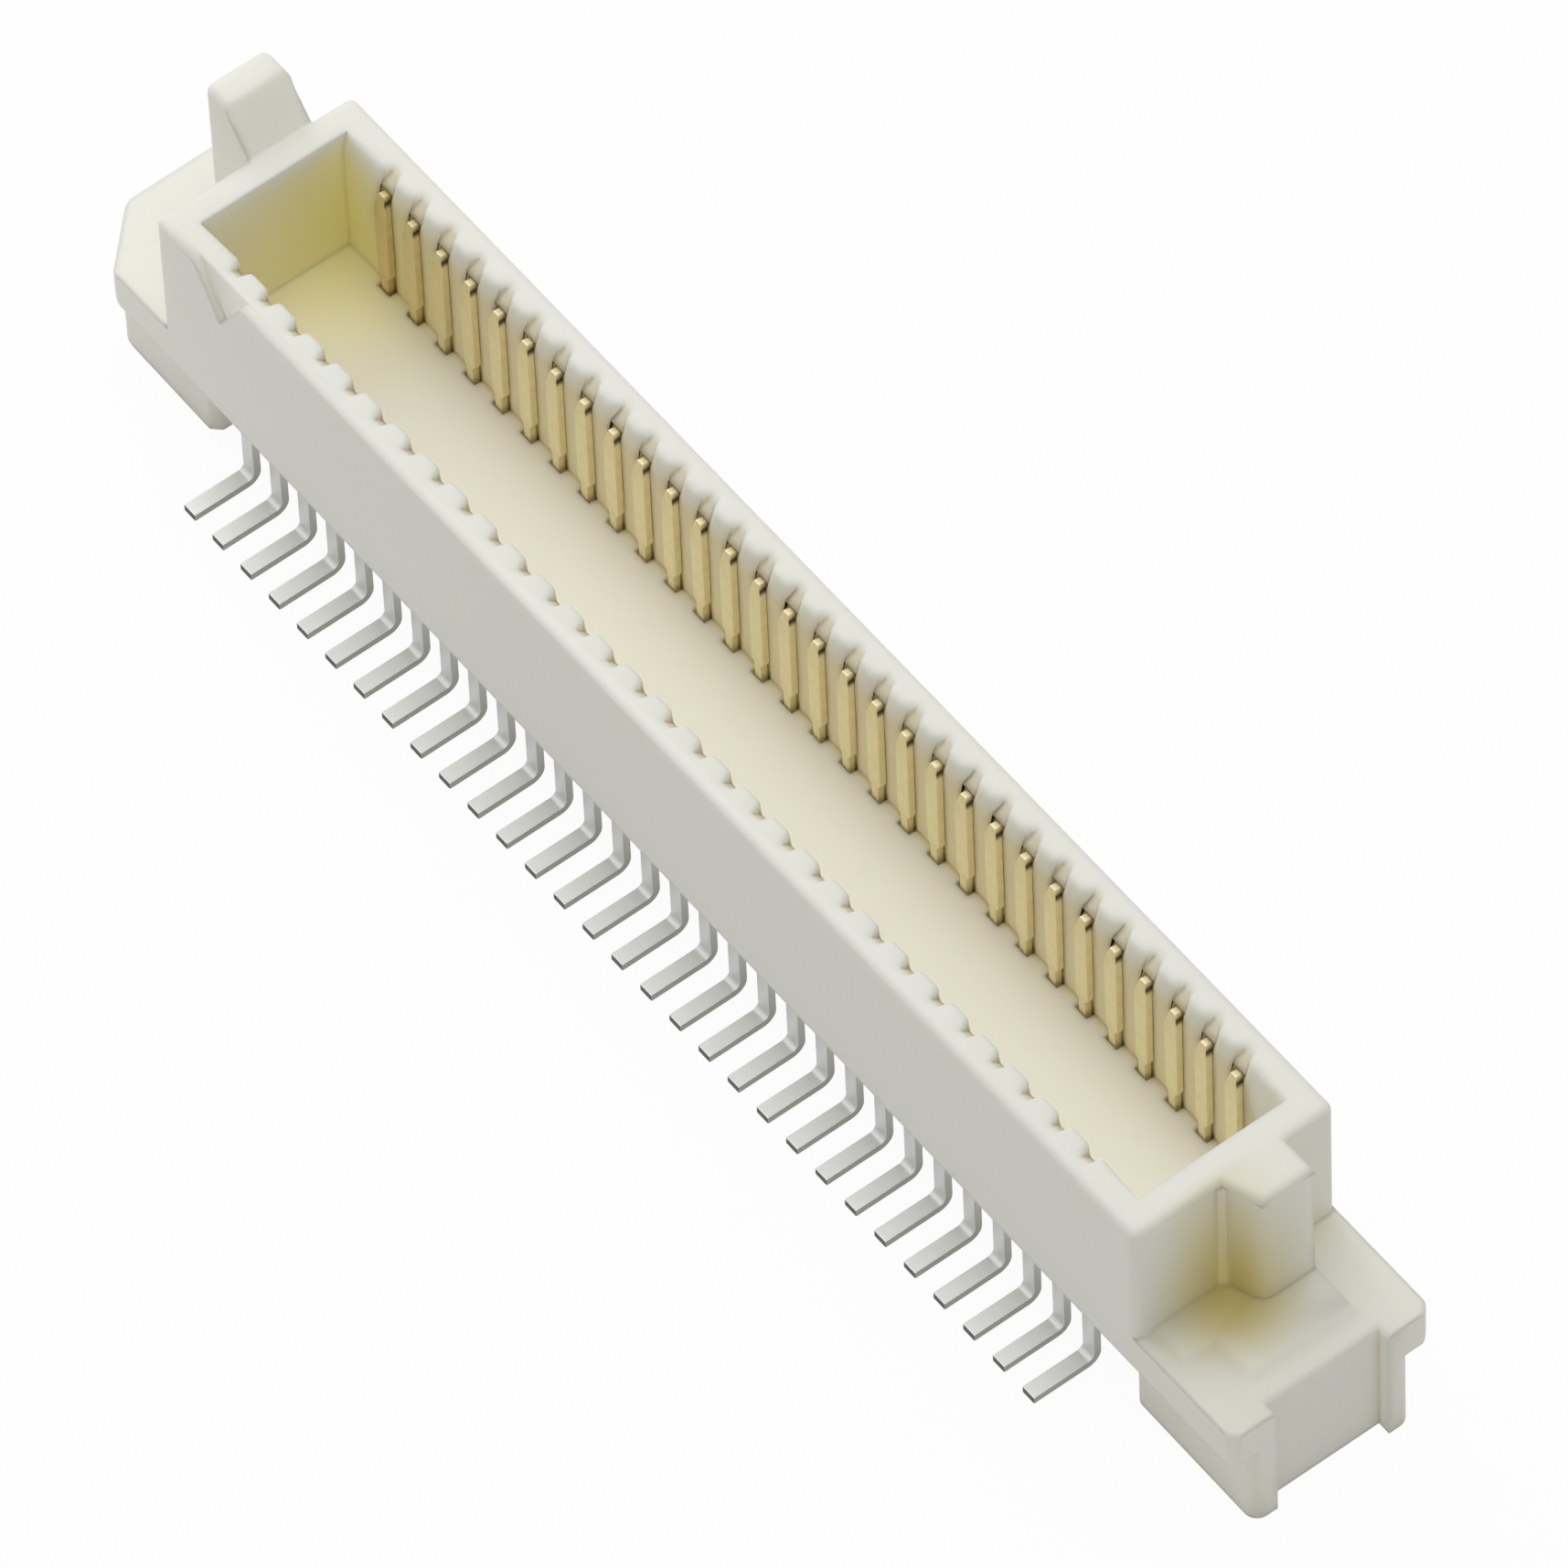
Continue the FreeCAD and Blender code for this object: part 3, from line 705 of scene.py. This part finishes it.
def strip_mesh(settings, side):
    """Return the mesh of one formed strip. Side is 1 for the far row and -1 for the near row."""
    stations = strip_stations(settings)
    half = settings.thickness / 2
    shape = bmesh.new()
    rings = []
    for number, (y, z, wide) in enumerate(stations):
        before = stations[max(number - 1, 0)]
        after = stations[min(number + 1, len(stations) - 1)]
        along = Vector((after[0] - before[0], after[1] - before[1])).normalized()
        across = Vector((-along.y, along.x)) * half
        corners = [(-wide, across), (wide, across), (wide, -across), (-wide, -across)]
        rings.append([shape.verts.new((x, side * (y + off.x), z + off.y)) for x, off in corners])
    for first, second in zip(rings, rings[1:]):
        for number in range(4):
            after = (number + 1) % 4
            shape.faces.new((first[number], first[after], second[after], second[number]))
    shape.faces.new(rings[0])
    shape.faces.new(rings[-1])
    bmesh.ops.recalc_face_normals(shape, faces=shape.faces)
    mesh = bpy.data.meshes.new("strip")
    shape.to_mesh(mesh)
    shape.free()
    return mesh


class BuildContacts(bpy.types.Operator):
    """Form two plated contacts at every position of the rows"""

    bl_idname = "pin_header.build_contacts"
    bl_label = "Contacts"

    def execute(self, context):
        settings = context.scene.contact_settings
        metal = plated_metal(settings)
        pair = bmesh.new()
        for side in (1, -1):
            strip = strip_mesh(settings, side)
            pair.from_mesh(strip)
            bpy.data.meshes.remove(strip)
        for name in CONTACT_NODES:
            low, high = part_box(name)
            mesh = bpy.data.meshes.new(name + "_strips")
            pair.to_mesh(mesh)
            use_smooth_flats(mesh, STAMPED_CREASE)
            piece = new_piece(name + "_strips", mesh, metal)
            piece.location.x = (low.x + high.x) / 2
            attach(piece, "root")
            round_piece(piece, settings.edge_round, segments=3, limit=STAMPED_EDGE)
            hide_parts(name)
        pair.free()
        return {"FINISHED"}


class BuildStage(bpy.types.Operator):
    """Set the camera, the soft lamps and the pale floor"""

    bl_idname = "pin_header.build_stage"
    bl_label = "Stage"

    def execute(self, context):
        settings = context.scene.stage_settings
        place_camera(settings)
        place_lamps()
        place_floor(settings)
        light_world(settings)
        context.scene.view_settings.view_transform = "Standard"
        return {"FINISHED"}


def place_camera(settings):
    """Point the camera as in the photograph."""
    turn = settings.azimuth
    rise = settings.elevation
    back = Vector((math.sin(turn) * math.cos(rise), -math.cos(turn) * math.cos(rise), math.sin(rise)))
    right = Vector((math.cos(turn), math.sin(turn), 0))
    up = back.cross(right)
    rolled_right = math.cos(settings.roll) * right + math.sin(settings.roll) * up
    rolled_up = -math.sin(settings.roll) * right + math.cos(settings.roll) * up
    data = bpy.data.cameras.new("camera")
    data.lens = settings.lens
    data.sensor_width = CAMERA_SENSOR
    data.sensor_height = CAMERA_SENSOR
    data.clip_start = CAMERA_NEAR
    data.clip_end = CAMERA_FAR
    camera = bpy.data.objects.new("camera", data)
    bpy.context.scene.collection.objects.link(camera)
    matrix = camera.matrix_world.to_3x3()
    matrix.col[0] = rolled_right
    matrix.col[1] = rolled_up
    matrix.col[2] = back
    camera.matrix_world = matrix.to_4x4()
    camera.location = Vector(CAMERA_TARGET) * MM + settings.distance * back
    bpy.context.scene.camera = camera


def place_lamps():
    """Hang soft lamps round the object."""
    for name, where, size, power in LAMPS:
        data = bpy.data.lights.new(name, "AREA")
        data.energy = power
        data.size = size * MM
        lamp = bpy.data.objects.new(name, data)
        lamp.location = Vector(where) * MM
        lamp.rotation_mode = "QUATERNION"
        lamp.rotation_quaternion = lamp.location.to_track_quat("Z", "Y")
        bpy.context.scene.collection.objects.link(lamp)


def place_floor(settings):
    """Lay a pale floor that shows as white to the camera and keeps the shadow."""
    mesh = bpy.data.meshes.new("floor")
    shape = bmesh.new()
    bmesh.ops.create_grid(shape, x_segments=1, y_segments=1, size=2.0)
    shape.to_mesh(mesh)
    shape.free()
    floor = bpy.data.objects.new("floor", mesh)
    floor.location.z = FLOOR_LEVEL
    bpy.context.scene.collection.objects.link(floor)
    finish = Finish("floor")
    finish.set(Base_Color=settings.floor, Roughness=0.9)
    plain = Socket(finish, finish.shader.outputs["BSDF"])
    white = finish.add("ShaderNodeEmission", None, {"Color": (1, 1, 1, 1), "Strength": 1.0})
    shares = {"Fac": finish.looking_rays() * settings.white_share, 1: plain, 2: white}
    mixed = finish.add("ShaderNodeMixShader", None, shares)
    finish.feed(finish.nodes["Material Output"].inputs["Surface"], mixed)
    mesh.materials.append(finish.material)


def light_world(settings):
    """Light the scene evenly, with a white background for camera, mirror and glass rays."""
    world = bpy.data.worlds.new("world")
    bpy.context.scene.world = world
    world.use_nodes = True
    background = world.node_tree.nodes["Background"]
    background.inputs["Color"].default_value = (1, 1, 1, 1)
    tree = Finish.of_tree(world.node_tree)
    strength = tree.span(tree.looking_rays(), 0, 1, settings.sky, 1.0)
    tree.feed(background.inputs["Strength"], strength)


class PinHeaderPanel(bpy.types.Panel):
    """List the steps that build the pin header."""

    bl_idname = "VIEW3D_PT_pin_header"
    bl_label = "Pin Header"
    bl_space_type = "VIEW_3D"
    bl_region_type = "UI"
    bl_category = "Pin Header"

    def draw(self, context):
        for step in STEPS:
            self.layout.operator(step.bl_idname)


STEPS = (BuildHousing, BuildContacts, BuildStage)
SETTINGS = (
    ("moulding_settings", MouldingSettings),
    ("contact_settings", ContactSettings),
    ("stage_settings", StageSettings),
)


def register():
    """Register the settings, the steps and the panel."""
    for name, group in SETTINGS:
        bpy.utils.register_class(group)
        setattr(bpy.types.Scene, name, bpy.props.PointerProperty(type=group))
    for step in STEPS:
        bpy.utils.register_class(step)
    bpy.utils.register_class(PinHeaderPanel)


def unregister():
    """Take the panel, the steps and the settings away again."""
    bpy.utils.unregister_class(PinHeaderPanel)
    for step in reversed(STEPS):
        bpy.utils.unregister_class(step)
    for name, group in reversed(SETTINGS):
        delattr(bpy.types.Scene, name)
        bpy.utils.unregister_class(group)


def main():
    """Build everything."""
    register()
    bpy.ops.pin_header.build_housing()
    bpy.ops.pin_header.build_contacts()
    bpy.ops.pin_header.build_stage()


if __name__ == "__main__":
    main()
